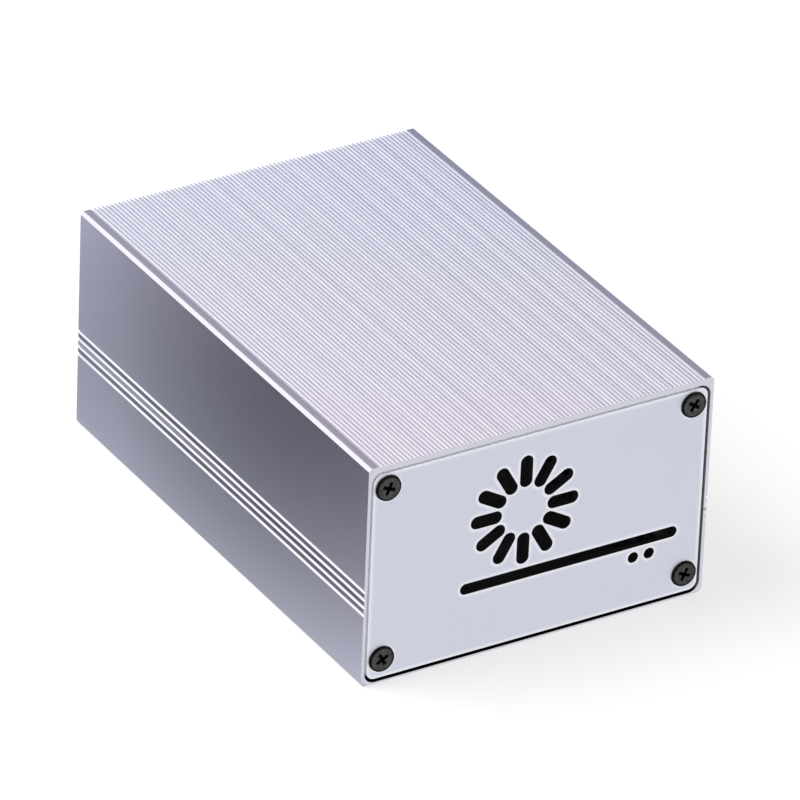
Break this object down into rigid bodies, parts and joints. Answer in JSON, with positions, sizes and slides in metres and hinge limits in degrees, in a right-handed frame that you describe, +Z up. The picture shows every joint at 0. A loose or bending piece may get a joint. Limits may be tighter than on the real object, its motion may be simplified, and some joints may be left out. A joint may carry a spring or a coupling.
{
  "type": "single-board computer case",
  "caption": "Extruded aluminium case for a single-board computer, with a ridged top, a seamed shell and screwed end plates, one with a ring-shaped vent.",
  "frame": {"origin": "middle of the case's underside, on the surface that it stands on", "axes": "+Z up from the underside to the ridged top, +Y along the extruded shells from the vented front plate to the connector plate, +X to the right as seen from the front"},
  "size_m": [0.067, 0.098, 0.042],
  "materials": {
    "shell": "satin anodised",
    "plate": "fine matte anodised",
    "screw": "black coated steel"
  },
  "bodies": {
    "root": {"lower_shell": "shell", "upper_shell": "shell", "front_plate": "plate", "rear_plate": "plate", "front_plate_screws": "screw", "rear_plate_screws": "screw"}
  },
  "joints": []
}
